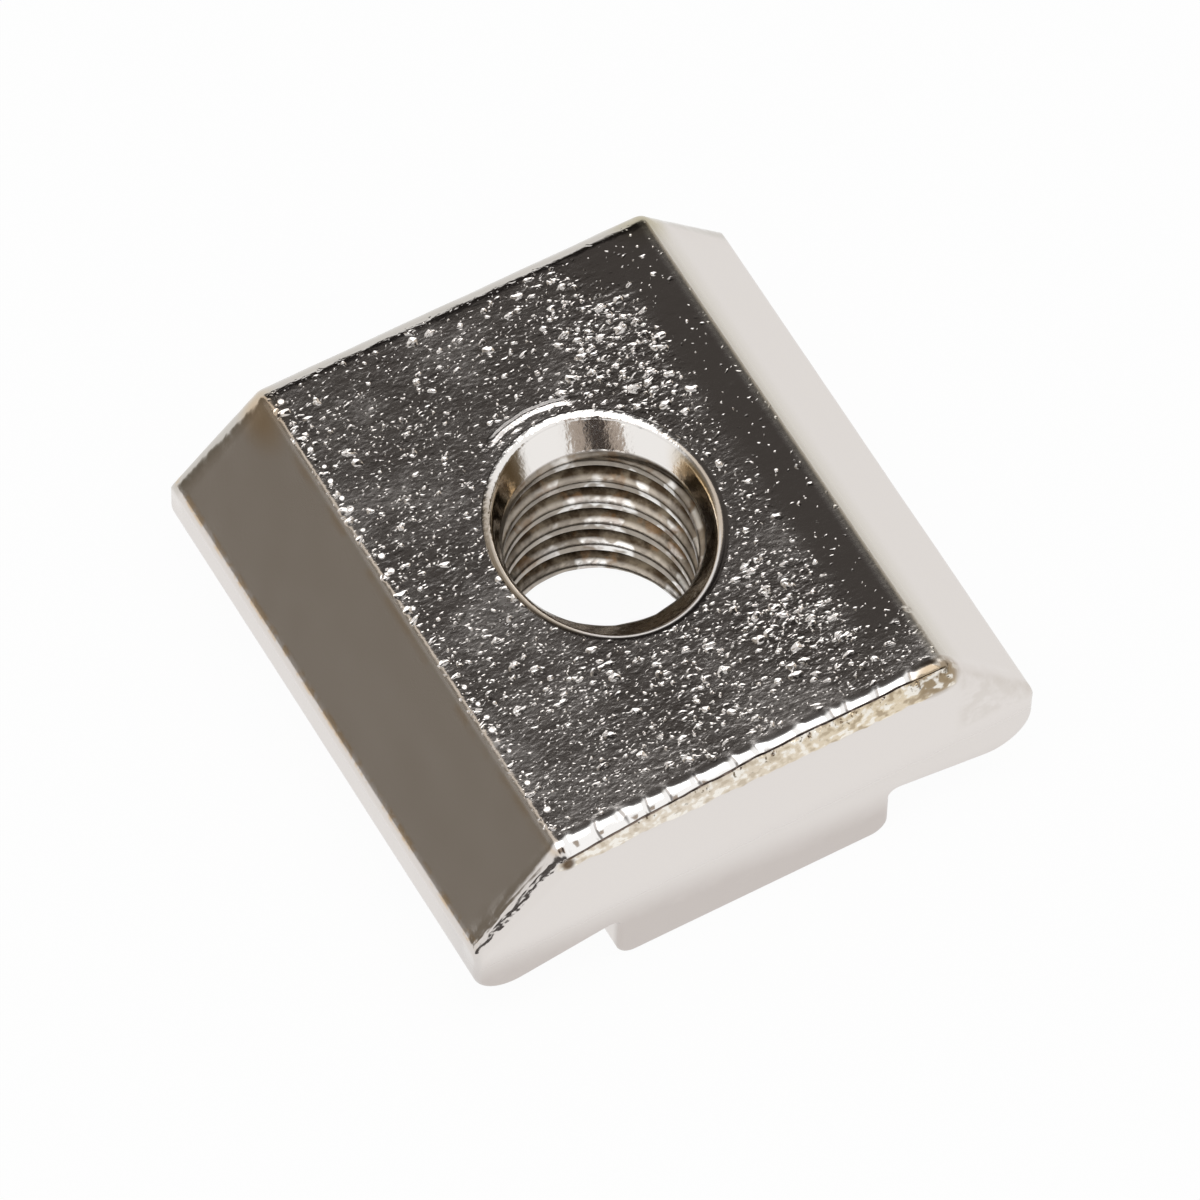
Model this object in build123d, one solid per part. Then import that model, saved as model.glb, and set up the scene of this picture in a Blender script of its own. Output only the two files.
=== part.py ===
from build123d import *
import math
import os

os.makedirs("parts", exist_ok=True)

# A slide-in nut for the T slot of aluminium framing.
# It is one length of drawn steel bar: a narrow tongue below, two shoulders and a flat top with sloping flanks.
# The bar is cut off at both ends, then drilled, countersunk and tapped through the middle.
# Millimetres.  X runs across the slot, Y runs along it, Z runs up from the face of the tongue.
# The origin is the middle of the tongue's face.

# ---- driving dimensions -------------------------------------------------------------------------
NUT_LENGTH = 15.9            # along the slot, end face to end face
BODY_WIDTH = 16.0            # over the two side walls, the widest the nut gets
TOP_FLAT_WIDTH = 11.0        # across the flat top, crease to crease
SLOPE_HEIGHT = 2.8           # from the top of a side wall up to the flat top
SIDE_WALL_HEIGHT = 2.3       # from the shoulder's tip up to the foot of the slope, before rounding
SHOULDER_DROP = 0.7          # how much lower a shoulder's tip hangs than its root beside the tongue
TONGUE_WIDTH = 7.8           # the tongue that stands in the slot's mouth
TONGUE_HEIGHT = 1.8          # from the tongue's face up to the root of a shoulder

THREAD_DIAMETER = 6.0        # nominal diameter of the metric thread, M6
THREAD_PITCH = 1.0           # coarse pitch
RIM_FLARE_ACROSS = 0.37      # the upper countersink opens to a slight oval, this far beyond the bore
RIM_FLARE_ALONG = 0.885      # on its shorter radius, and this far on its longer one, before the lip
RIM_TURN = -12.0             # degrees from across the slot to the shorter radius
RIM_CENTRE_X = 0.107         # the oval's centre stands a little off the bore's
RIM_CENTRE_Y = 0.016
FOOT_FLARE = 0.12            # the countersink's foot is a circle this far beyond the bore
FOOT_CENTRE_X = 0.05
RIM_DEPTH = 0.60             # depth of that foot under the flat top
EXIT_FLARE = 0.40            # how far the lower countersink opens beyond the bore, on the radius
EXIT_DEPTH = 0.30            # depth of the lower countersink

TIP_RADIUS = 1.15            # lower outer corner of a shoulder
SLOPE_FOOT_RADIUS = 0.40     # where a slope turns down into a side wall
CREASE_RADIUS = 0.20         # where the flat top turns into a slope
TONGUE_CORNER_RADIUS = 0.50  # lower corners of the tongue
SHOULDER_ROOT_RADIUS = 0.22  # hollow corner between a shoulder and the tongue
TOP_ROLL_RADIUS = 0.70       # the cut drags the flat top over to this radius at both end faces
SLOPE_ROLL_RADIUS = 0.46     # and the slopes to this one
END_CORNER_RADIUS = 0.30     # upright corners of both end faces
RIM_LIP_RADIUS = 0.36        # rounded lip of the upper countersink

# ---- sizes that follow from them ----------------------------------------------------------------
SHOULDER_TIP_Z = TONGUE_HEIGHT - SHOULDER_DROP
SLOPE_FOOT_Z = SHOULDER_TIP_Z + SIDE_WALL_HEIGHT
NUT_HEIGHT = SLOPE_FOOT_Z + SLOPE_HEIGHT
SLOPE_RUN = (BODY_WIDTH - TOP_FLAT_WIDTH) / 2.0
SLOPE_TILT = math.degrees(math.atan2(SLOPE_HEIGHT, SLOPE_RUN))

INTERNAL_THREAD_FACTOR = 1.0825    # an ISO internal thread's crests stand this many pitches inside
BORE_DIAMETER = THREAD_DIAMETER - INTERNAL_THREAD_FACTOR * THREAD_PITCH
BORE_RADIUS = BORE_DIAMETER / 2.0
EXIT_RADIUS = BORE_RADIUS + EXIT_FLARE

RIM_ACROSS_RADIUS = BORE_RADIUS + RIM_FLARE_ACROSS
RIM_ALONG_RADIUS = BORE_RADIUS + RIM_FLARE_ALONG
FOOT_RADIUS = BORE_RADIUS + FOOT_FLARE
RIM_TOOL_START = -1.0              # the countersink's tool starts below the foot, wholly inside the bore,
RIM_TOOL_END = 2.5                 # and ends above the flat top, both as shares of the countersink's depth

CUT_MARGIN = 1.0                   # how far a cutting shape stands clear of the face it cuts
MATCH = 0.01                       # how closely a corner must lie on its stated place to be picked


def section_corners():
    """Sharp corners of the bar's section, anticlockwise, as (x, z) pairs."""
    right = [
        (TONGUE_WIDTH / 2.0, 0.0),
        (TONGUE_WIDTH / 2.0, TONGUE_HEIGHT),
        (BODY_WIDTH / 2.0, SHOULDER_TIP_Z),
        (BODY_WIDTH / 2.0, SLOPE_FOOT_Z),
        (TOP_FLAT_WIDTH / 2.0, NUT_HEIGHT),
    ]
    left = [(-x, z) for x, z in reversed(right)]
    return right + left


def section_radii():
    """Radius of each pair of corners, keyed by half width and height."""
    return [
        (TONGUE_WIDTH / 2.0, 0.0, TONGUE_CORNER_RADIUS),
        (TONGUE_WIDTH / 2.0, TONGUE_HEIGHT, SHOULDER_ROOT_RADIUS),
        (BODY_WIDTH / 2.0, SHOULDER_TIP_Z, TIP_RADIUS),
        (BODY_WIDTH / 2.0, SLOPE_FOOT_Z, SLOPE_FOOT_RADIUS),
        (TOP_FLAT_WIDTH / 2.0, NUT_HEIGHT, CREASE_RADIUS),
    ]


def corner_pair(face, half_width, height):
    """The two vertices of a section that mirror each other at this half width and height."""
    pair = []
    for vertex in face.vertices():
        beside = abs(abs(vertex.X) - half_width) < MATCH
        level = abs(vertex.Y - height) < MATCH
        if beside and level:
            pair.append(vertex)
    return pair


def bar_section():
    """The rounded section of the drawn bar, lying in the XY plane with its height along Y."""
    face = make_face(Polyline(*section_corners(), close=True))
    for half_width, height, radius in section_radii():
        face = fillet(corner_pair(face, half_width, height), radius)
    return face


def drawn_bar():
    """The section carried along Y to the nut's cut length."""
    return extrude(Plane.XZ * bar_section(), amount=NUT_LENGTH / 2.0, both=True)


def end_roll_cutter(radius):
    """What a roll takes off one edge: all that lies outside a quarter round under Z = 0 at +Y."""
    span = radius + CUT_MARGIN
    inner_y = NUT_LENGTH / 2.0 - radius
    corner = Pos(inner_y + span / 2.0, CUT_MARGIN - span / 2.0) * Rectangle(span, span)
    quarter_round = Pos(inner_y, -radius) * Circle(radius)
    return extrude(Plane.YZ * (corner - quarter_round), amount=BODY_WIDTH, both=True)


def upright_corner_limit():
    """An upright block in plan, as long and wide as the nut, with rounded corners."""
    plan = RectangleRounded(BODY_WIDTH, NUT_LENGTH, END_CORNER_RADIUS)
    return extrude(plan, amount=NUT_HEIGHT)


def rolled_faces():
    """Where the cut rolls an edge over, as (x, z, tilt, radius): the flat top and the two slopes."""
    slope_x = (TOP_FLAT_WIDTH + BODY_WIDTH) / 4.0
    slope_z = (NUT_HEIGHT + SLOPE_FOOT_Z) / 2.0
    return [
        (0, NUT_HEIGHT, 0, TOP_ROLL_RADIUS),
        (slope_x, slope_z, SLOPE_TILT, SLOPE_ROLL_RADIUS),
        (-slope_x, slope_z, -SLOPE_TILT, SLOPE_ROLL_RADIUS),
    ]


def cut_to_length():
    """The bar cut off at both ends, with the upper edges of both end faces rolled over."""
    blank = drawn_bar() & upright_corner_limit()
    for x, z, tilt, radius in rolled_faces():
        cutter = end_roll_cutter(radius)
        for turn in (0, 180):
            blank = blank - Pos(x, 0, z) * Rot(0, tilt, 0) * Rot(0, 0, turn) * cutter
    return blank


def bore_tool():
    """The tapping-size bore with the lower countersink at its mouth, as one turned shape."""
    exit_slope = EXIT_FLARE / EXIT_DEPTH
    outline = Polyline(
        (0, -CUT_MARGIN),
        (EXIT_RADIUS + exit_slope * CUT_MARGIN, -CUT_MARGIN),
        (BORE_RADIUS, EXIT_DEPTH),
        (BORE_RADIUS, NUT_HEIGHT + CUT_MARGIN),
        (0, NUT_HEIGHT + CUT_MARGIN),
        close=True,
    )
    return revolve(Plane.XZ * make_face(outline), Axis.Z)


def rim_oval(share):
    """The upper countersink's section: a circle at its foot, share 0, a turned oval at its rim, share 1."""
    across = FOOT_RADIUS + (RIM_ACROSS_RADIUS - FOOT_RADIUS) * share
    along = FOOT_RADIUS + (RIM_ALONG_RADIUS - FOOT_RADIUS) * share
    centre_x = FOOT_CENTRE_X + (RIM_CENTRE_X - FOOT_CENTRE_X) * share
    height = NUT_HEIGHT - RIM_DEPTH * (1.0 - share)
    return Pos(centre_x, RIM_CENTRE_Y * share, height) * Rot(0, 0, RIM_TURN) * Ellipse(across, along)


def rim_tool():
    """The upper countersink, ruled between two of its sections."""
    return loft([rim_oval(RIM_TOOL_START), rim_oval(RIM_TOOL_END)], ruled=True)


def rim_edges(shape):
    """The oval edge where the upper countersink meets the flat top."""
    found = []
    for edge in shape.edges():
        box = edge.bounding_box()
        level = abs(box.min.Z - NUT_HEIGHT) < MATCH and abs(box.max.Z - NUT_HEIGHT) < MATCH
        reach = RIM_ALONG_RADIUS + MATCH
        round_the_bore = box.max.Y < reach and box.min.Y > -reach
        if level and round_the_bore:
            found.append(edge)
    return found


def nut_body():
    """The finished nut; its thread's crests lie on the bore."""
    bored = cut_to_length() - bore_tool() - rim_tool()
    return fillet(rim_edges(bored), RIM_LIP_RADIUS)


if __name__ == "__main__":
    export_step(nut_body(), "parts/nut_body.step")
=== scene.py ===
import math
import bmesh
import bpy
import numpy as np
from mathutils import Matrix


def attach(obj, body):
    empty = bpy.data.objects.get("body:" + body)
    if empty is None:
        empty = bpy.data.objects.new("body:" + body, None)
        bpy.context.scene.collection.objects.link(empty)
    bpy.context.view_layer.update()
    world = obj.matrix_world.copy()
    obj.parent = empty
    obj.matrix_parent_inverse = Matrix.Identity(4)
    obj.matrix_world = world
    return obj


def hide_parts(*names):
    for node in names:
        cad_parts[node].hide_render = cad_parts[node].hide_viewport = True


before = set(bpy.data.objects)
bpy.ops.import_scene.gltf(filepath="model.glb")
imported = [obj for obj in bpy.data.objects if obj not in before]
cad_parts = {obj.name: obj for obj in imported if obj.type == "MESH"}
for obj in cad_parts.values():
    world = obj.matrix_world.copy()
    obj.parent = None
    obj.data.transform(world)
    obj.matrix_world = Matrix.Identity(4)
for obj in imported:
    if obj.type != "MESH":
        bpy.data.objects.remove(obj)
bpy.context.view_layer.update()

# A slide-in nut for a T slot, in millimetres until a mesh is written.
# X runs across the slot, Y along it, Z up from the tongue's face to the flat top.
MM = 0.001
LENGTH = 15.9
HALF_LENGTH = LENGTH / 2
HALF_WIDTH = 8.0
HALF_TOP = 5.5
TOP_Z = 6.2
FOOT_Z = 3.4
TIP_Z = 1.1
HALF_TONGUE = 3.9
ROOT_Z = 1.8
TIP_RADIUS = 1.15
FOOT_RADIUS = 0.40
CREASE_RADIUS = 0.30
ROOT_RADIUS = 0.22
TONGUE_RADIUS = 0.50
ROLL_RADIUS = 0.70                      # of the flat top's ends; the slopes' ends are rolled less
SLOPE_ROLL, FOOT_ROLL = 0.58, 0.34
BREAK_RADIUS = 0.14
PITCH = 1.0
THREAD_DEPTH = 0.5413
BORE_RADIUS = 2.4588
THREAD_START = 0.11                     # height of a crest's middle over +X
RIM_ACROSS, RIM_ALONG, RIM_TURN = 2.829, 3.344, math.radians(-12)   # the rim is a slight oval
RIM_PLACE = np.array([0.107, 0.016])
RIM_DEPTH, FOOT_RING, FOOT_PLACE = 0.60, 2.579, np.array([0.05, 0.0])   # the countersink ends in a circle
LIP_RADIUS = 0.36
EXIT_FLARE, EXIT_DEPTH = 0.40, 0.30
TOP_PATCH, FOOT_PATCH = 4.2, 3.3       # half sides of the squares that hold the hole, above and below

# Cells of the grids, from a side wall in to the square round the hole, and along the slot.
UPPER_CELLS = (6, 5, 24, 4, 12)        # side wall, foot, slope, crease, flat
LOWER_CELLS = (14, 13, 5, 6, 8, 5)     # tip, underside, root, tongue wall, tongue corner, flat
SIDE_CELLS = sum(UPPER_CELLS)
PATCH_CELLS = 76
ROLL_CELLS = 9
RUN_CELLS = 28
FIRST_ROW = ROLL_CELLS + RUN_CELLS
TURN_CELLS = 4 * PATCH_CELLS


# ---- surfaces -----------------------------------------------------------------------------------

def meet(p, u, q, v):
    """Where the line through p along u crosses the line through q along v."""
    cross = u[0] * v[1] - u[1] * v[0]
    along = ((q[0] - p[0]) * v[1] - (q[1] - p[1]) * v[0]) / cross
    return np.array([p[0] + along * u[0], p[1] + along * u[1]])


def round_corner(before, corner, after, radius, cells):
    """An arc of the given radius that touches both lines of a corner, as points in order along it."""
    u = (before - corner) / np.linalg.norm(before - corner)
    v = (after - corner) / np.linalg.norm(after - corner)
    half = math.acos(float(np.clip(u @ v, -1, 1))) / 2
    centre = corner + (u + v) / np.linalg.norm(u + v) * radius / math.sin(half)
    a = math.atan2(*(corner + u * radius / math.tan(half) - centre)[::-1])
    b = math.atan2(*(corner + v * radius / math.tan(half) - centre)[::-1])
    turn = (b - a + math.pi) % (2 * math.pi) - math.pi
    angle = a + turn * np.linspace(0, 1, cells + 1)
    return centre + radius * np.c_[np.cos(angle), np.sin(angle)]


def run(a, b, cells):
    """Evenly spaced points from a up to, but not on, b."""
    return a + (b - a) * np.linspace(0, 1, cells + 1)[:-1, None]


def mirrored(half, inner):
    """A half profile, the level run over the hole's square, then the half's mirror image."""
    level = run(half[-1], half[-1] * [-1, 1], PATCH_CELLS)
    assert abs(half[-1][0] - inner) < 1e-9
    return np.vstack([half[:-1], level, (half * [-1, 1])[::-1]])


SLOPE_RUN = np.array([HALF_TOP - HALF_WIDTH, TOP_Z - FOOT_Z])
SLOPE_OUT = np.array([SLOPE_RUN[1], -SLOPE_RUN[0]]) / np.linalg.norm(SLOPE_RUN)
UNDER_RUN = np.array([HALF_TONGUE - HALF_WIDTH, ROOT_Z - TIP_Z])
UNDER_OUT = np.array([UNDER_RUN[1], -UNDER_RUN[0]]) / np.linalg.norm(UNDER_RUN) * -1
UPRIGHT, LEVEL = np.array([0.0, 1.0]), np.array([1.0, 0.0])


def lower_corners(inset):
    """Corners of the lower half section, with every face drawn in by the inset."""
    under = np.array([HALF_WIDTH, TIP_Z]) - UNDER_OUT * inset
    tip = meet(np.array([HALF_WIDTH - inset, 0]), UPRIGHT, under, UNDER_RUN)
    root = meet(np.array([HALF_TONGUE - inset, 0]), UPRIGHT, under, UNDER_RUN)
    return tip, root, np.array([HALF_TONGUE - inset, inset])


def lower_profile(inset):
    """Tip, underside, root, tongue wall and tongue face, from the right side wall to the left one."""
    tip, root, corner = lower_corners(inset)
    inner = np.array([FOOT_PATCH, inset])
    tip_arc = round_corner(tip + UPRIGHT, tip, root, TIP_RADIUS - inset, LOWER_CELLS[0])
    root_arc = round_corner(tip, root, corner, ROOT_RADIUS + inset, LOWER_CELLS[2])
    corner_arc = round_corner(root, corner, inner, TONGUE_RADIUS - inset, LOWER_CELLS[4])
    half = np.vstack([
        tip_arc[:-1], run(tip_arc[-1], root_arc[0], LOWER_CELLS[1]),
        root_arc[:-1], run(root_arc[-1], corner_arc[0], LOWER_CELLS[3]),
        corner_arc[:-1], run(corner_arc[-1], inner, LOWER_CELLS[5]), inner])
    return mirrored(half, FOOT_PATCH)


def upper_profile(drawn):
    """Side wall, foot, slope, crease and flat top, drawn in by a share of the roll at each of them."""
    start = lower_profile(BREAK_RADIUS * drawn)[0]
    low = np.array([HALF_WIDTH, FOOT_Z]) - SLOPE_OUT * FOOT_ROLL * drawn
    high = np.array([HALF_TOP, TOP_Z]) - SLOPE_OUT * SLOPE_ROLL * drawn
    foot = meet(start, UPRIGHT, low, high - low)
    crease = meet(np.array([0, TOP_Z - ROLL_RADIUS * drawn]), LEVEL, low, high - low)
    inner = np.array([TOP_PATCH, TOP_Z - ROLL_RADIUS * drawn])
    foot_arc = round_corner(start, foot, crease, FOOT_RADIUS, UPPER_CELLS[1])
    crease_arc = round_corner(foot, crease, inner, CREASE_RADIUS, UPPER_CELLS[3])
    half = np.vstack([
        run(start, foot_arc[0], UPPER_CELLS[0]), foot_arc[:-1],
        run(foot_arc[-1], crease_arc[0], UPPER_CELLS[2]), crease_arc[:-1],
        run(crease_arc[-1], inner, UPPER_CELLS[4]), inner])
    return mirrored(half, TOP_PATCH)


def sheet(profile_at, radius, patch):
    """A profile carried along the slot; at each end it follows a quarter round of each column's radius.

    The row's angle goes from 90 degrees at an end face to 0 where the run begins.
    y = half length - radius * (1 - sin angle), and the profile is drawn in by radius * (1 - cos angle).
    """
    angle = np.linspace(math.pi / 2, 0, ROLL_CELLS + 1)
    rolled = np.stack([profile_at(1 - math.cos(a)) for a in angle])
    reach = HALF_LENGTH - radius * (1 - np.sin(angle))[:, None]
    run_share = np.linspace(0, 1, RUN_CELLS + 1)[1:-1, None]
    run_y = reach[-1] + (patch - reach[-1]) * run_share
    patch_y = patch * np.linspace(1, -1, PATCH_CELLS + 1)[:, None]
    y = np.vstack([-reach, -run_y, -patch_y, run_y[::-1], reach[::-1]])
    flat = np.broadcast_to(rolled[-1], (len(y) - 2 * len(angle),) + rolled[-1].shape)
    section = np.concatenate([rolled, flat, rolled[::-1]])
    return np.dstack([section[..., 0], y, section[..., 1]])


def column_share():
    """How far a column lies from the side wall, 0, to the square round the hole, 1."""
    side = np.linspace(0, 1, SIDE_CELLS + 1)
    return np.r_[side[:-1], np.ones(PATCH_CELLS + 1), side[-2::-1]]


def upper_sheet():
    """Side walls, slopes and flat top with both rolled ends."""
    radius = np.interp(column_share() * SIDE_CELLS, np.cumsum((0,) + UPPER_CELLS)[:5],
                       (BREAK_RADIUS, BREAK_RADIUS, FOOT_ROLL, SLOPE_ROLL, ROLL_RADIUS))
    return sheet(upper_profile, radius, TOP_PATCH + 0 * radius)


def lower_sheet():
    """Shoulder undersides and the tongue, with both ends broken by a small round."""
    patch = TOP_PATCH + (FOOT_PATCH - TOP_PATCH) * column_share()
    return sheet(lambda k: lower_profile(BREAK_RADIUS * k), BREAK_RADIUS + 0 * patch, patch)


def end_cap(upper, lower):
    """An end face ruled from the upper edge to a middle line above the shoulders, then to the lower edge."""
    column = column_share() * SIDE_CELLS
    marks = np.cumsum((0,) + LOWER_CELLS)
    across = np.interp(column, marks, (abs(upper[0, 0]), 7.1, 4.25, 3.72, 3.58, 3.4, 3.3))
    side = np.sign(upper[:, 0])
    inside = column >= SIDE_CELLS
    middle_x = np.where(inside, lower[:, 0], across * side)
    middle_z = np.interp(column, marks[:4], (lower[0, 2], 2.1, 2.25, 2.2))
    tied = np.clip(column / marks[1], 0, 1)
    middle = np.c_[middle_x, upper[:, 1], middle_z]
    middle = (upper + lower) / 2 * (1 - tied[:, None]) + middle * tied[:, None]
    down = np.array([0, 0.03, 0.08, 0.2, 0.4, 0.6, 0.8, 1.0])[:, None, None]
    foot = np.array([0.25, 0.5, 0.75, 0.92, 1.0])[:, None, None]
    return np.concatenate([upper + (middle - upper) * down, middle + (lower - middle) * foot])


def square_edge(grid):
    """The grid's points round the hole's square, anticlockwise from the corner at +X -Y."""
    first, last = FIRST_ROW, FIRST_ROW + PATCH_CELLS
    right, left = SIDE_CELLS, SIDE_CELLS + PATCH_CELLS
    return np.vstack([
        grid[first:last, right], grid[last, right:left],
        grid[last:first:-1, left], grid[first, left:right:-1]])


def turn_angles():
    """Even angles round the hole from the square's first corner."""
    return -math.pi / 4 + 2 * math.pi * np.arange(TURN_CELLS) / TURN_CELLS


def ring(radius, z):
    """A level circle round the hole's axis."""
    angle = turn_angles()
    return np.c_[radius * np.cos(angle), radius * np.sin(angle), z + 0 * angle]


def annulus(square, edge, cells):
    """Rings that change from the square's edge to the hole's edge, closer together towards the hole."""
    share = np.sin(np.linspace(0, math.pi / 2, cells + 1))[:, None, None]
    return square + (edge - square) * share


def oval_radius(angle, across, along, place):
    """Distance from the hole's axis to an ellipse that is a little off centre and turned.

    A ray at the angle meets the ellipse where (u/a)^2 + (w/b)^2 = 1, a quadratic in the distance.
    """
    def turned(vector):
        c, s = math.cos(RIM_TURN), math.sin(RIM_TURN)
        return (vector[0] * c + vector[1] * s) / across, (vector[1] * c - vector[0] * s) / along
    (pu, pw), (qu, qw) = turned((np.cos(angle), np.sin(angle))), turned(-place)
    a, b, c = pu * pu + pw * pw, pu * qu + pw * qw, qu * qu + qw * qw - 1
    return (np.sqrt(b * b - a * c) - b) / a


def countersink(angle, z):
    """Radius of the countersink's wall, ruled from the circle at its foot to the oval on the flat top."""
    foot = oval_radius(angle, FOOT_RING, FOOT_RING, FOOT_PLACE)
    rim = oval_radius(angle, RIM_ACROSS, RIM_ALONG, RIM_PLACE)
    return foot + (rim - foot) * (1 - (TOP_Z - z) / RIM_DEPTH)


def wall_tilt(angle):
    """How steeply the countersink's wall falls at an angle round the hole."""
    return np.arctan2(RIM_DEPTH, countersink(angle, TOP_Z) - countersink(angle, TOP_Z - RIM_DEPTH))


def smooth_max(a, b, width):
    """The larger of two values, blended over the given width where they cross."""
    near = np.clip(width - np.abs(a - b), 0, None) / width
    return np.maximum(a, b) + near * near * width / 4


def thread_radius(angle, z):
    """Radius of the right-hand internal thread: rounded crests at the bore, 30 degree flanks, narrow roots.

    The groove runs out to nothing under the countersink's foot.
    """
    phase = (z - THREAD_START) / PITCH - angle / (2 * math.pi)
    off = np.abs(phase - np.round(phase))
    rise = np.clip((off - 0.10) / 0.3375, 0, 1)
    eased = np.where(rise < 0.2, rise * rise * 2.5, rise - 0.1) / 0.9
    run_out = np.clip((TOP_Z - RIM_DEPTH + 0.04 - z) / 0.36, 0, 1)
    return BORE_RADIUS + THREAD_DEPTH * eased * run_out * run_out * (3 - 2 * run_out)


def lip_rings(cells=7):
    """The rounded lip from the flat top to the countersink: an arc that turns down by the wall's tilt.

    Where the tilt is t, the arc starts lip * tan(t / 2) outside the oval; after a turn of w
    radius = start - lip * sin(w), z = top - lip * (1 - cos(w)).
    """
    angle = turn_angles()
    tilt = wall_tilt(angle)
    turn = np.linspace(0, 1, cells + 1)[:, None] * tilt
    radius = countersink(angle, TOP_Z) + LIP_RADIUS * (np.tan(tilt / 2) - np.sin(turn))
    z = TOP_Z - LIP_RADIUS * (1 - np.cos(turn))
    return np.dstack([radius * np.cos(angle), radius * np.sin(angle), z])


def thread_wall(bottom_z=0.0):
    """The bore's wall on helical rows: the larger of the thread's radius and the two countersinks'.

    z = bottom + pitch * (row + angle / turn - 1), held between the lip's lower edge and the foot.
    Just above the foot a groove widens no faster than it rises, so that its mouth leaves no thin ledge.
    """
    angle = turn_angles()
    top_z = TOP_Z - LIP_RADIUS * (1 - np.cos(wall_tilt(angle)))
    half = np.array([0, 0.06, 0.10, 0.13, 0.165, 0.21, 0.27, 0.34, 0.41, 0.45])
    phases = np.r_[half, 0.5, 1 - half[:0:-1]]
    turns = int(math.ceil((TOP_Z - bottom_z) / PITCH)) + 2
    rows = (np.arange(turns)[:, None] + phases).ravel() + math.floor(bottom_z / PITCH) - 1
    z = np.clip(PITCH * (rows[:, None] + angle / (2 * math.pi)) + THREAD_START, bottom_z, top_z)
    angle = np.broadcast_to(angle, z.shape)
    exit_cone = BORE_RADIUS + EXIT_FLARE * (EXIT_DEPTH - z) / EXIT_DEPTH
    cones = np.maximum(countersink(angle, z), exit_cone)
    radius = smooth_max(thread_radius(angle, z), cones, 0.03)
    radius = np.minimum(radius, BORE_RADIUS + EXIT_FLARE + z - bottom_z)
    radius = np.where((z >= top_z - 1e-9) | (z <= bottom_z + 1e-9), cones, radius)
    return np.dstack([radius * np.cos(angle), radius * np.sin(angle), z]), len(phases)


# ---- meshes -------------------------------------------------------------------------------------

def grid_faces(rows, columns, first=0):
    """Quads of a grid of points stored row by row."""
    index = first + np.arange(rows * columns).reshape(rows, columns)
    return np.dstack([index[:-1, :-1], index[:-1, 1:], index[1:, 1:], index[1:, :-1]])


def ring_faces(rows, columns, first, shift=0):
    """Quads of rings that close on themselves, the last column meeting the first a number of rows up."""
    index = first + np.arange(rows * columns).reshape(rows, columns)
    seam = index[np.minimum(np.arange(rows) + shift, rows - 1), 0]
    index = np.c_[index, seam]
    return np.dstack([index[:-1, :-1], index[:-1, 1:], index[1:, 1:], index[1:, :-1]])


def pierced(grid):
    """Faces of a sheet without those inside the hole's square."""
    faces = grid_faces(*grid.shape[:2])
    keep = np.ones(faces.shape[:2], bool)
    keep[FIRST_ROW:FIRST_ROW + PATCH_CELLS, SIDE_CELLS:SIDE_CELLS + PATCH_CELLS] = False
    return faces[keep]


def welded(patches):
    """Joins patches of points and faces: equal points become one, and faces may shrink."""
    count, points, faces = 0, [], []
    for grid, quads in patches:
        points.append(grid.reshape(-1, 3))
        faces.append(quads.reshape(-1, 4) + count)
        count += points[-1].shape[0]
    points, faces = np.vstack(points), np.vstack(faces)
    _, first, same = np.unique(np.round(points * 1e5).astype(np.int64), axis=0,
                               return_index=True, return_inverse=True)
    return points[first], same.ravel()[faces]


def distinct_faces(faces):
    """Quads with four different corners as they are, quads with one pair alike as triangles."""
    step = faces != np.roll(faces, -1, axis=1)
    cross = (faces[:, 0] != faces[:, 2]) & (faces[:, 1] != faces[:, 3])
    quads = faces[step.all(1) & cross]
    bent = faces[(step.sum(1) == 3) & cross]
    triangles = bent[(bent != np.roll(bent, -1, axis=1))].reshape(-1, 3)
    return quads, triangles


def lattice_noise(points, size, seed):
    """Smooth noise from -1 to 1: random values on a lattice of cells, blended between the eight round a point."""
    table = np.random.default_rng(seed).random((32, 32, 32)) * 2 - 1
    scaled = points / np.asarray(size) + 1000.37
    cell = np.floor(scaled).astype(int)
    share = scaled - cell
    share = share * share * (3 - 2 * share)
    value = 0
    for corner in np.ndindex(2, 2, 2):
        at = (cell + corner) % 32
        weight = np.prod(np.where(np.array(corner), share, 1 - share), axis=1)
        value = value + weight * table[at[:, 0], at[:, 1], at[:, 2]]
    return value


def worn(points, normals):
    """Moves points along their normals: a faint swell all over, and lumps where the ends are rolled."""
    swell = 0.006 * lattice_noise(points, (3.2, 2.6, 2.2), 3) + 0.002 * lattice_noise(points, (0.9, 0.7, 0.7), 5)
    x, y, z = points.T
    inside = np.clip((np.hypot(x, y) - 3.3) / 0.5, 0, 1) * (1 - normals[:, 1] ** 2)
    end = np.clip((np.abs(y) - 7.1) / 0.4, 0, 1) * np.clip((z - 3.2) / 0.6, 0, 1) * (1 - normals[:, 1] ** 4)
    lumps = 0.016 * lattice_noise(points, (0.95, 0.5, 0.5), 7) + 0.005 * lattice_noise(points, (0.34, 0.24, 0.24), 9)
    return points + normals * (swell * inside + lumps * end)[:, None]


def make_piece(name, points, quads, triangles, material):
    """A mesh object at the origin from points in millimetres, smooth shaded, faces outward."""
    mesh = bpy.data.meshes.new(name)
    mesh.from_pydata((points * MM).tolist(), [], quads.tolist() + triangles.tolist())
    work = bmesh.new()
    work.from_mesh(mesh)
    bmesh.ops.recalc_face_normals(work, faces=work.faces)
    work.to_mesh(mesh)
    work.free()
    normals = np.empty(len(mesh.vertices) * 3)
    mesh.vertices.foreach_get("normal", normals)
    mesh.vertices.foreach_set("co", (worn(points, normals.reshape(-1, 3)) * MM).ravel())
    mesh.polygons.foreach_set("use_smooth", np.ones(len(mesh.polygons), bool))
    mesh.materials.append(material)
    mesh.update()
    piece = bpy.data.objects.new(name, mesh)
    bpy.context.scene.collection.objects.link(piece)
    return piece


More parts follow.
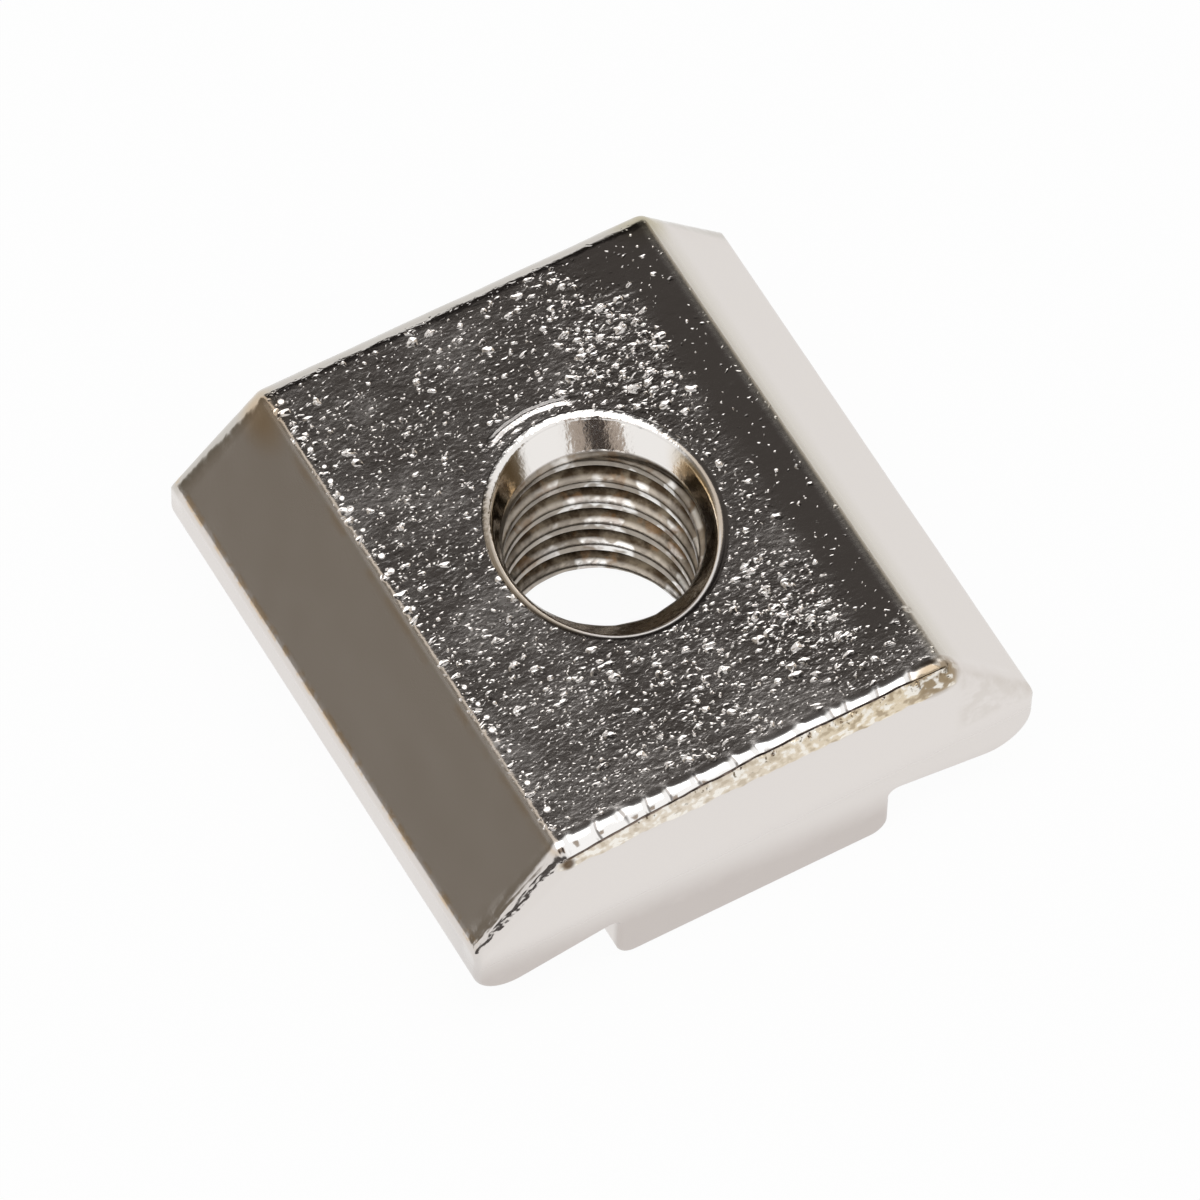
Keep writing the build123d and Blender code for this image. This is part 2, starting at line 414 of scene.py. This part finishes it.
def nut_surface():
    """All the nut's patches: two pierced sheets, two end faces, and the way down through the hole."""
    upper, lower = upper_sheet(), lower_sheet()
    lip = lip_rings()
    top_ring = annulus(square_edge(upper), lip[0], 16)
    foot_ring = annulus(square_edge(lower), ring(BORE_RADIUS + EXIT_FLARE, 0.0), 5)
    wall, per_turn = thread_wall()
    patches = [(upper, pierced(upper)), (lower, pierced(lower))]
    for row in (0, -1):
        cap = end_cap(upper[row], lower[row])
        patches.append((cap, grid_faces(*cap.shape[:2])))
    for rings in (top_ring, lip, foot_ring):
        patches.append((rings, ring_faces(*rings.shape[:2], 0)))
    patches.append((wall, ring_faces(*wall.shape[:2], 0, per_turn)))
    points, faces = welded(patches)
    quads, triangles = distinct_faces(faces)
    return points, quads, triangles


# ---- shader maths -------------------------------------------------------------------------------

class Term:
    """A shader socket that takes part in sums: each operator adds the Math node that it needs."""

    def __init__(self, graph, link):
        self.graph, self.link = graph, link

    def math(self, operation, *values):
        return self.graph.add("ShaderNodeMath", {"operation": operation}, dict(enumerate(values)))

    def __add__(self, other):
        return self.math("ADD", self, other)

    def __sub__(self, other):
        return self.math("SUBTRACT", self, other)

    def __rsub__(self, other):
        return self.math("SUBTRACT", other, self)

    def __mul__(self, other):
        return self.math("MULTIPLY", self, other)

    def __truediv__(self, other):
        return self.math("DIVIDE", self, other)

    def __rtruediv__(self, other):
        return self.math("DIVIDE", other, self)

    def __abs__(self):
        return self.math("ABSOLUTE", self)

    def __pow__(self, other):
        return self.math("POWER", self, other)

    __radd__, __rmul__ = __add__, __mul__

    def rise(self, low, high):
        """0 below low, 1 above high, a smooth step between; falls when low is the larger."""
        return self.graph.add("ShaderNodeMapRange", {"interpolation_type": "SMOOTHSTEP"},
                              {"Value": self, "From Min": low, "From Max": high})

    def most(self, other):
        """The larger of two values."""
        return self.math("MAXIMUM", self, other)


class Graph:
    """Adds nodes to one material's or world's tree."""

    def __init__(self, owner):
        owner.use_nodes = True
        self.tree = owner.node_tree
        self.tree.nodes.clear()

    def add(self, kind, settings=None, inputs=None, output=0):
        """A node of the given kind: settings first, then its sockets' values or links."""
        node = self.tree.nodes.new(kind)
        for name, value in (settings or {}).items():
            setattr(node, name, value)
        for name, value in (inputs or {}).items():
            if isinstance(value, Term):
                self.tree.links.new(value.link, node.inputs[name])
            else:
                node.inputs[name].default_value = value
        return Term(self, node.outputs[output])

    def end(self, kind, shader):
        """The output node, fed by a shader."""
        self.tree.links.new(shader.link, self.tree.nodes.new(kind).inputs["Surface"])

    def parts(self, vector):
        """The three components of a vector."""
        x = self.add("ShaderNodeSeparateXYZ", None, {0: vector})
        outputs = x.link.node.outputs
        return x, Term(self, outputs[1]), Term(self, outputs[2])

    def vector(self, operation, a, b=None, output=0):
        """One Vector Math node."""
        inputs = {0: a} if b is None else {0: a, 1: b}
        return self.add("ShaderNodeVectorMath", {"operation": operation}, inputs, output)

    def blend(self, share, a, b):
        """Colour a going over to colour b."""
        return self.add("ShaderNodeMix", {"data_type": "RGBA"},
                        {0: share, 6: colour(a), 7: colour(b)}, 2)

    def noise(self, place, scale, detail=2.0, roughness=0.5):
        """Noise from 0 to 1 about 0.5."""
        return self.add("ShaderNodeTexNoise", None,
                        {"Vector": place, "Scale": scale, "Detail": detail, "Roughness": roughness})

    def stretched_noise(self, place, stretch, scale, detail=2.0, roughness=0.5):
        """Noise whose grain is drawn out along each axis where its stretch is below 1."""
        return self.noise(self.vector("MULTIPLY", place, stretch), scale, detail, roughness)

    def spot(self, place, centre, reach, inner=0.0):
        """1 at a place, falling to 0 at the reach along each axis."""
        off = self.vector("MULTIPLY", self.vector("SUBTRACT", place, centre), [1 / r for r in reach])
        return self.vector("LENGTH", off, None, "Value").rise(1.0, inner)


def colour(value):
    """A colour of three numbers with its alpha; a link stays as it is."""
    return value if isinstance(value, Term) else (*value, 1.0)


# ---- the nickel plate ---------------------------------------------------------------------------

NICKEL = (0.745, 0.703, 0.672)
GOLDEN = (0.66, 0.52, 0.33)


def pits(graph, cell, scale, crowd, depth):
    """Dimples of mixed size and depth: at most one to a cell of the warped place, in the crowd's share of cells."""
    away = graph.add("ShaderNodeTexVoronoi", {"voronoi_dimensions": "2D", "feature": "F1"},
                     {"Vector": cell, "Scale": scale, "Randomness": 0.95})
    chance = graph.parts(Term(graph, away.link.node.outputs["Color"]))
    size = 0.17 + 0.20 * chance[1]
    bowl = (1 - away / size).most(0.0)
    here = (crowd - chance[0]).rise(0.0, 0.08)
    return bowl * here * size * (0.4 + 0.6 * chance[2]) * -depth


def nickel_plate():
    """Bright nickel over pitted steel: mirror-like on the flat top, satin elsewhere, brown in its edges, with painted
    highlights, painted shade and painted reflections in its colour.
    """
    material = bpy.data.materials.new("nickel_plate")
    g = Graph(material)
    place = g.vector("SCALE", g.add("ShaderNodeTexCoord", None, None, "Object"))
    place.link.node.inputs["Scale"].default_value = 1000.0
    x, y, z = g.parts(place)
    rho = (x * x + y * y) ** 0.5
    across = abs(x)
    cos_turn, sin_turn = math.cos(RIM_TURN), math.sin(RIM_TURN)
    off_x, off_y = x - RIM_PLACE[0], y - RIM_PLACE[1]
    rim_u = (off_x * cos_turn + off_y * sin_turn) / (RIM_ACROSS + 0.238)
    rim_w = (off_y * cos_turn - off_x * sin_turn) / (RIM_ALONG + 0.124)
    rim = (rim_u * rim_u + rim_w * rim_w) ** 0.5

    # The nut's own regions, each 1 inside and 0 outside.
    in_hole = rim.rise(1.0, 0.98) * z.rise(6.13, 6.08)
    lip = rim.rise(1.0, 0.985) * (1 - in_hole)
    on_top = z.rise(6.11, 6.17) * rim.rise(0.98, 1.0)
    pitted = on_top * y.rise(-7.34, -7.18)
    in_bore = in_hole * z.rise(5.64, 5.58)
    crest = in_bore * rho.rise(2.66, 2.53)
    slope = (across * 0.746 + z * 0.666).rise(8.05, 8.18) * z.rise(6.12, 6.0) * (1 - in_hole)
    front = y.rise(-7.2, -7.5) * z.rise(2.5, 3.4)
    end_roll = abs(y).rise(7.2, 7.5) * z.rise(2.5, 3.4)
    back_roll = y.rise(7.35, 7.6) * z.rise(3.0, 3.6)

    # The way round the front roll, from the flat top to the end face, and how far it is past the beads.
    off_face = abs(y).rise(7.95, 7.86)
    from_left = x + 5.0
    round_way = (-7.25 - y) + (TOP_Z - z)
    bead_end = 0.82 - 0.105 * from_left + 0.0065 * from_left * from_left + 0.10 * (g.noise(place, 1.4, 1.0) - 0.5)
    past = round_way - bead_end

    # Where the dimples lie thick: two fields beyond the hole and to its right, few along the right side.
    far_field = g.spot(place, (2.9, 4.4, 6.2), (1.9, 3.6, 9), 0.35)
    near_field = g.spot(place, (2.9, -4.7, 6.2), (2.3, 2.7, 9), 0.30)
    lower_field = g.spot(place, (-0.9, -4.9, 6.2), (4.2, 2.9, 9), 0.35)
    left_crease = x.rise(-5.1, -5.25)
    calm = x.rise(3.7, 4.5) * y.rise(-6.6, -5.4)
    calm = calm.most(x.rise(2.2, 4.0) * y.rise(5.4, 6.4))
    fields = far_field.most(near_field * 0.9).most(lower_field * 0.45)
    crowd = (0.02 + 0.38 * g.noise(place, 0.6, 1.0) + 0.55 * fields + 0.2 * left_crease) * (1 - 0.9 * calm)

    # The height of all that is too fine for the mesh, in millimetres.
    warp = g.add("ShaderNodeTexNoise", None, {"Vector": place, "Scale": 3.4, "Detail": 1.0}, "Color")
    push = g.vector("MULTIPLY", g.vector("SUBTRACT", warp, (0.5, 0.5, 0.5)), (0.34, 0.26, 0.0))
    warped = g.vector("ADD", place, push)
    dimple = pits(g, g.vector("MULTIPLY", warped, (0.72, 1.0, 1.0)), 2.8, crowd, 0.19)
    small = pits(g, g.vector("MULTIPLY", warped, (0.78, 1.0, 1.0)), 5.0, crowd * 0.9 + 0.06, 0.105)
    tiny = pits(g, g.vector("MULTIPLY", warped, (0.80, 1.0, 1.0)), 9.0, 0.40 * (1 - 0.6 * calm), 0.04)
    crumple = g.stretched_noise(place, (0.80, 1.20, 1.0), 3.0, 3.0, 0.55)
    crumple = (crumple - 0.5) * (0.010 + 0.008 * (1 - calm) + 0.020 * fields)
    fine = g.stretched_noise(place, (0.8, 1.2, 1.0), 9.0, 1.0) * 0.009 * (1 - 0.8 * calm)
    ridge_way = rim + (x + 0.1) * 0.012 + 0.012 * g.noise(place, 3.0, 2.0)
    ridge_span = y.rise(2.2, 3.0) * x.rise(1.4, 0.7) * x.rise(-1.5, -0.9)
    ridge = ridge_way.rise(1.07, 1.115) * ridge_way.rise(1.15, 1.115) * ridge_span
    grain = g.noise(place, 16.0, 2.0) * 0.0012
    dot_way = y * 1.9 + 0.5 * g.noise(place, 0.8, 1.0)
    dot = g.add("ShaderNodeTexVoronoi", {"voronoi_dimensions": "1D", "feature": "F1"}, {"W": dot_way, "Scale": 1.0})
    dot_chance = g.parts(Term(g, dot.link.node.outputs["Color"]))
    dot_size = 0.012 + 0.078 * dot_chance[0]
    dot_x = (x + 5.30 - 0.12 * dot_chance[1]) / dot_size
    dot_y = (dot_way - Term(g, dot.link.node.outputs["W"])) * 0.52
    dot_round = (1.6 - dot_x * dot_x - dot_y * dot_y / (dot_size * dot_size)).rise(0.0, 0.9)
    dots = dot_round * (dot_y * 0.42 + x * 0.10 + 0.52)
    bead_way = x * 1.25 + 0.9 * g.noise(place, 0.9, 1.0)
    bead_edge = g.add("ShaderNodeTexVoronoi", {"voronoi_dimensions": "1D", "feature": "DISTANCE_TO_EDGE"},
                      {"W": bead_way, "Scale": 1.0})
    bead = bead_edge.rise(0.0, 0.28) * 0.028 * front * z.rise(5.80, 5.9) * across.rise(5.5, 5.35)
    lumps = g.stretched_noise(place, (0.6, 1.0, 1.0), 3.2, 1.0) * 0.016 * end_roll * off_face
    knob_noise = g.stretched_noise(place, (0.8, 1.0, 1.0), 5.5, 2.0)
    knobs = knob_noise * 0.05 * front * off_face * past.rise(0.02, 0.10) * across.rise(5.6, 5.4)
    mitre = y.rise(-7.55, -7.68) * off_face * x.rise(-5.65, -5.85) * z.rise(3.4, 3.7) * z.rise(5.95, 5.8)
    mitre_knobs = g.stretched_noise(place, (0.6, 1.8, 0.6), 4.5, 1.0) * 0.03 * mitre
    wall_ripple = g.noise(place, 4.0, 2.0) * 0.016 * in_bore
    cone_marks = g.stretched_noise(place, (1.0, 1.0, 0.35), 7.0, 2.0) * 0.006 * in_hole * (1 - in_bore)
    rim_knobs = g.noise(place, 5.0, 2.0) * 0.02 * lip * y.rise(0.5, 1.5)
    height = ((dimple + small + tiny + crumple + fine + 0.05 * ridge + dots) * pitted + grain + lumps + knobs + bead
              + wall_ripple + cone_marks + rim_knobs + mitre_knobs)
    bump = g.add("ShaderNodeBump", None, {"Strength": 1.0, "Distance": MM, "Height": height})

    # How satin each region is.
    cloud = g.noise(place, 0.50, 3.0, 0.6).rise(0.36, 0.66)
    haze = g.stretched_noise(place, (0.8, 1.3, 1.0), 4.5, 3.0, 0.65).rise(0.35, 0.7)
    rough = 0.115 + (0.04 + 0.09 * cloud + 0.06 * haze) * (1 - 0.92 * calm) * (1 - 0.5 * fields)
    satin = 0.26 + 0.06 * g.noise(place, 1.5, 3.0)
    rough = rough * on_top + (satin * (1 - slope) + 0.17 * slope) * (1 - on_top)
    rough = rough * (1 - in_hole) + (0.13 + 0.22 * in_bore) * in_hole
    rough = rough * (1 - end_roll.most(lip)) + 0.12 * end_roll.most(lip) + 0.14 * x.rise(5.15, 5.35) * z.rise(5.9, 6.0)
    # painted shade: greyer towards the foot of the front face
    foot = y.rise(-7.6, -7.9) * (z + 0.10 * x).rise(2.6, 0.9)

    # Where the stains, the painted highlights of the beads, the painted shade and reflections, and the browned places
    # are.
    stain_and_shade_noise = g.noise(place, 2.2, 4.0, 0.6)
    rust = in_bore * g.noise(place, 1.4, 3.0, 0.6).rise(0.55, 0.66)
    on_roll = y.rise(-7.3, -7.36) * across.rise(5.45, 5.3)
    # painted highlights: white beads along the front roll
    bead_highlights = on_roll * past.rise(0.02, 0.0) * x.rise(5.0, 4.7)
    # painted shade: dark lines under and between the beads
    seam = on_roll * past.rise(0.0, 0.02) * past.rise(0.11, 0.08)
    parted = g.stretched_noise(place, (1.0, 0.0, 0.0), 1.6, 1.0).rise(0.38, 0.46)
    seam = seam.most(bead_highlights * bead_edge.rise(0.085, 0.015) * x.rise(-5.1, -4.9) * parted * 0.8)
    fine_stain = g.stretched_noise(place, (0.7, 1.0, 1.0), 6.0, 1.5)
    band_end = 1.28 + 0.30 * (g.noise(place, 1.9, 2.0) - 0.5)
    # painted reflection: a gold band along the front roll under the beads
    gold_band_reflection = front * past.rise(0.07, 0.11) * (round_way - band_end).rise(0.04, -0.04) * across.rise(5.75, 5.5)
    corner_gold = g.spot(place, (5.15, -7.65, 5.9), (0.95, 0.6, 0.6), 0.5) * y.rise(-7.28, -7.34)
    vertex_brown = g.spot(place, (-5.38, -7.82, 5.72), (0.26, 0.3, 0.24), 0.4)
    # painted shade: a soft grey band along the right crease
    right_crease_shade = x.rise(5.2, 5.4) * z.rise(5.3, 6.05) * (1 - front)
    foot_gold = x.rise(-7.4, -7.6) * z.rise(3.40, 3.48) * z.rise(3.66, 3.56) * stain_and_shade_noise.rise(0.42, 0.6)
    right_front = y.rise(-7.55, -7.75) * x.rise(5.6, 6.0) * z.rise(3.1, 3.5) * stain_and_shade_noise.rise(0.35, 0.6)
    far_corner = g.spot(place, (5.4, 7.7, 6.0), (1.2, 1.2, 0.7), 0.2)
    cone = in_hole * (1 - in_bore)
    # painted reflection of the brown room on the countersink's left and near parts
    cone_left_reflection = cone * x.rise(-0.5, -1.2)
    cone_near_reflection = cone * y.rise(-0.6, -1.5)
    # painted reflection on the countersink's right part
    cone_right_reflection = cone * x.rise(2.45, 2.95) * y.rise(1.3, 0.4)
    highlight = crest * x.rise(-0.6, 0.8) * g.noise(place, 1.3, 2.0).rise(0.52, 0.60)
    crease_gold = slope * x.rise(-5.0, -5.3) * z.rise(5.85, 6.08) * g.noise(place, 0.8, 2.0).rise(0.44, 0.62) * 0.7
    back_gold = g.spot(place, (-5.84, 7.1, 5.9), (0.9, 1.4, 0.9), 0.1)
    # painted reflection: a golden patch on the countersink's right rim
    cone_gold = g.spot(place, (2.95, 0.2, 5.9), (0.7, 1.5, 0.7), 0.2) * in_hole

    # What lies over the nickel, each over those before it: its share of the surface and its colour.
    # the grooves' flanks: mottled tarnish with painted shade
    flank = g.blend(stain_and_shade_noise.rise(0.36, 0.64), (0.045, 0.030, 0.018), (0.15, 0.12, 0.085))
    layers = (
        # painted shade: the front face, greyer towards its foot
        (foot * (0.8 + 0.5 * stain_and_shade_noise), (0.58, 0.53, 0.50)),
        # the left side wall near the front
        (x.rise(-7.75, -7.95) * y.rise(-5.5, -7.5) * 0.6, (0.64, 0.61, 0.59)),
        # the slopes
        (slope * 0.8, (0.70, 0.655, 0.62)),
        # the rolled back edge
        (back_roll * 0.85, (0.56, 0.53, 0.485)),
        # painted shade: the soft grey band along the right crease
        (right_crease_shade * 0.75, (0.60, 0.56, 0.49)),
        # the far right corner
        (far_corner * 0.8, (0.50, 0.45, 0.32)),
        # the countersink and the far part of its lip, painted paler than the nickel: a painted highlight
        (cone.most(lip * y.rise(0.2, 1.2)), (0.88, 0.85, 0.82)),
        # painted reflection: its left and near parts, brown as the room they mirror
        (cone_left_reflection.most(cone_near_reflection), (0.42, 0.345, 0.255)),
        # painted reflection: its right part, golden brown
        (cone_right_reflection, (0.62, 0.49, 0.32)),
        # the grooves' flanks, dark brown: tarnish with painted shade
        (in_bore, flank),
        # the thread's crests
        (crest * (0.3 + 0.7 * stain_and_shade_noise), (0.52, 0.465, 0.40)),
        # painted highlights on them
        (highlight, (0.97, 0.95, 0.92)),
        # painted reflection: the gold band under the beads
        (gold_band_reflection * (0.55 + 0.35 * x.rise(-2.0, 3.5)), (0.72, 0.61, 0.44)),
        # brown grains in it
        (gold_band_reflection * fine_stain.rise(0.48, 0.34) * (0.35 + 0.3 * x.rise(0.0, 4.0)), (0.30, 0.22, 0.13)),
        # painted highlights: the white beads on the front roll
        (bead_highlights, (0.97, 0.95, 0.93)),
        # painted shade: the dark seams round them
        (seam * 0.95, (0.05, 0.03, 0.02)),
        # the front right corner
        (corner_gold * 0.9, (0.30, 0.225, 0.14)),
        # painted glints: pale grains in the band
        (gold_band_reflection.most(corner_gold * 0.5) * fine_stain.rise(0.50, 0.64) * 0.8, (0.95, 0.92, 0.86)),
        # the front mitre on the right
        (right_front * 0.3, (0.55, 0.50, 0.44)),
        # painted reflection: the lip's left, brown as the countersink's left
        (lip * x.rise(-1.5, -2.4) * 0.8, (0.45, 0.38, 0.30)),
        # painted reflection: the countersink's right rim, golden
        (cone_gold * 0.7, GOLDEN),
        # gold along the left crease, its back end and the side wall
        (crease_gold.most(back_gold).most(foot_gold) * 0.6, (0.62, 0.43, 0.22)),
        # rust in the thread
        (rust * 0.5, (0.20, 0.11, 0.05)),
        # the brown knot at the front left corner
        (vertex_brown * 0.95, (0.10, 0.06, 0.03)),
    )
    tint = NICKEL
    for share, shade in layers:
        tint = g.blend(share, tint, shade)

    metal = g.add("ShaderNodeBsdfPrincipled", None,
                  {"Base Color": tint, "Metallic": 1.0, "Roughness": rough, "Normal": bump})
    g.end("ShaderNodeOutputMaterial", metal)
    return material


# ---- floor, light and camera --------------------------------------------------------------------

AZIMUTH, ELEVATION, ROLL = -31.0, 58.09, 1.82           # degrees
DISTANCE, TARGET = 300.0, np.array([0, 0, 3.0])         # millimetres
AIM_RIGHT, AIM_UP = 0.01, -0.149                        # how far beside the target the camera aims
FRAME_WIDTH, SCALE = 1200, 39.78                        # the frame's width, and how much of it a millimetre fills
SENSOR_WIDTH = 36
LAMP_DISTANCE, LAMP_LEVEL = 450.0, 1.35
LAMP_WAY = np.array([-0.12, -0.18, 0.976])              # from the nut towards the lamp
FLOOR_Z = -0.03                                         # a hair under the tongue's face


def add_object(name, data):
    """An object of the scene that holds the given data."""
    thing = bpy.data.objects.new(name, data)
    bpy.context.scene.collection.objects.link(thing)
    return thing


def frame_at(right, up, back, place):
    """A placing matrix from three unit directions and a place in millimetres."""
    matrix = np.eye(4)
    matrix[:3, 0], matrix[:3, 1], matrix[:3, 2], matrix[:3, 3] = right, up, back, np.asarray(place) * MM
    return Matrix(matrix.tolist())


def add_camera():
    """A long lens looking down at the nut from its front left, turned a little about its own axis."""
    a, e, r = (math.radians(v) for v in (AZIMUTH, ELEVATION, ROLL))
    back = np.array([math.sin(a) * math.cos(e), -math.cos(a) * math.cos(e), math.sin(e)])
    right = np.array([math.cos(a), math.sin(a), 0])
    up = np.cross(back, right)
    right, up = math.cos(r) * right + math.sin(r) * up, math.cos(r) * up - math.sin(r) * right
    data = bpy.data.cameras.new("camera")
    data.sensor_width = SENSOR_WIDTH
    data.lens = SCALE * DISTANCE * SENSOR_WIDTH / FRAME_WIDTH
    data.clip_start, data.clip_end = 0.01, 5
    camera = add_object("camera", data)
    aim = TARGET + AIM_RIGHT * right + AIM_UP * up
    camera.matrix_world = frame_at(right, up, back, aim + DISTANCE * back)
    bpy.context.scene.camera = camera


def seen_directly(g):
    """1 for the rays that show a background as it is: from the camera, and off or through something."""
    path = g.add("ShaderNodeLightPath")
    out = path.link.node.outputs
    return Term(g, out["Is Camera Ray"]).most(Term(g, out["Is Glossy Ray"])).most(Term(g, out["Is Transmission Ray"]))


def add_floor():
    """A plain white floor that still takes a little of the nut's shadow, and is clear from beneath."""
    mesh = bpy.data.meshes.new("floor")
    low = FLOOR_Z * MM
    mesh.from_pydata([(-1, -1, low), (1, -1, low), (1, 1, low), (-1, 1, low)], [], [(0, 1, 2, 3)])
    material = bpy.data.materials.new("floor_white")
    g = Graph(material)
    matt = g.add("ShaderNodeBsdfDiffuse", None, {"Color": (0.86, 0.86, 0.86, 1)})
    glow = g.add("ShaderNodeEmission", None, {"Color": (1, 1, 1, 1), "Strength": 1.0})
    both = g.add("ShaderNodeMixShader", None, {0: seen_directly(g) * 0.95, 1: matt, 2: glow})
    beneath = g.add("ShaderNodeNewGeometry", None, None, "Backfacing")
    both = g.add("ShaderNodeMixShader", None, {0: beneath, 1: both, 2: g.add("ShaderNodeBsdfTransparent")})
    g.end("ShaderNodeOutputMaterial", both)
    mesh.materials.append(material)
    add_object("floor", mesh)


def add_world():
    """A white room whose rear ceiling is dark: what the bright metal mirrors, and an even grey light."""
    world = bpy.data.worlds.new("studio")
    bpy.context.scene.world = world
    g = Graph(world)
    way = g.add("ShaderNodeTexCoord", None, None, "Generated")
    x, y, z = g.parts(way)
    dark = g.blend(x.rise(-0.25, -0.55), (0.060, 0.054, 0.050), (0.196, 0.172, 0.140))
    dark = g.blend(x.rise(0.48, 0.72), dark, (0.42, 0.385, 0.335))
    dark = g.blend(x.rise(-0.24, -0.34) * x.rise(-0.66, -0.54), dark, (0.75, 0.68, 0.59))
    behind = y.rise(0.03, 0.36) * (z + 0.29 * x.rise(-0.42, -0.58)).rise(0.22, 0.42)
    room = g.blend(behind, (0.95, 0.95, 0.95), dark)
    black_rear = y.rise(0.28, 0.42) * x.rise(-0.15, 0.0) * x.rise(0.52, 0.42) * z.rise(0.42, 0.50) * z.rise(0.80, 0.70)
    room = g.blend(black_rear, room, (0.012, 0.010, 0.009))
    sideways = x * 0.857 - y * 0.515            # across the front left part of the ceiling
    front_ceiling = y.rise(-0.25, -0.35) * z.rise(0.50, 0.56) * z.rise(0.82, 0.78)
    brown_panel = front_ceiling * sideways.rise(-0.31, -0.26) * sideways.rise(0.42, 0.36)
    room = g.blend(brown_panel, room, (0.36, 0.30, 0.25))
    black_panel = front_ceiling * sideways.rise(-0.11, -0.06) * sideways.rise(0.21, 0.16)
    room = g.blend(black_panel, room, (0.03, 0.02, 0.015))
    low_right = x.rise(0.60, 0.74) * y.rise(0.1, 0.0) * z.rise(0.46, 0.34) * z.rise(-0.12, -0.02)
    room = g.blend(low_right, room, (0.17, 0.135, 0.09))
    low_front = y.rise(-0.34, -0.48) * x.rise(-0.10, -0.28) * z.rise(0.34, 0.24) * z.rise(-0.12, -0.02)
    room = g.blend(low_front * 0.95, room, (0.04, 0.033, 0.03))
    path = g.add("ShaderNodeLightPath")
    out = path.link.node.outputs
    mirrored_room = Term(g, out["Is Glossy Ray"])
    straight = Term(g, out["Is Camera Ray"]).most(Term(g, out["Is Transmission Ray"]))
    light = g.blend(mirrored_room, (0.62, 0.62, 0.62), room)
    light = g.blend(straight, light, (1, 1, 1))
    sky = g.add("ShaderNodeBackground", None, {"Color": light, "Strength": 1.0})
    g.end("ShaderNodeOutputWorld", sky)


def add_softbox():
    """One broad lamp over the front of the nut."""
    back = LAMP_WAY / np.linalg.norm(LAMP_WAY)
    right = np.cross([0, 1, 0], back)
    right /= np.linalg.norm(right)
    data = bpy.data.lights.new("softbox", "AREA")
    data.shape = "RECTANGLE"
    data.size, data.size_y = 0.58, 0.29
    data.energy = LAMP_LEVEL * math.pi * data.size * data.size_y
    lamp = add_object("softbox", data)
    lamp.matrix_world = frame_at(right, np.cross(back, right), back, back * LAMP_DISTANCE)
    lamp.visible_camera = False


# ---- the scene ----------------------------------------------------------------------------------

points, quads, triangles = nut_surface()
nut = make_piece("nut_body_plated", points, quads, triangles, nickel_plate())
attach(nut, "root")
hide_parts("nut_body")

add_camera()
add_floor()
add_world()
add_softbox()
bpy.context.scene.view_settings.view_transform = "Standard"
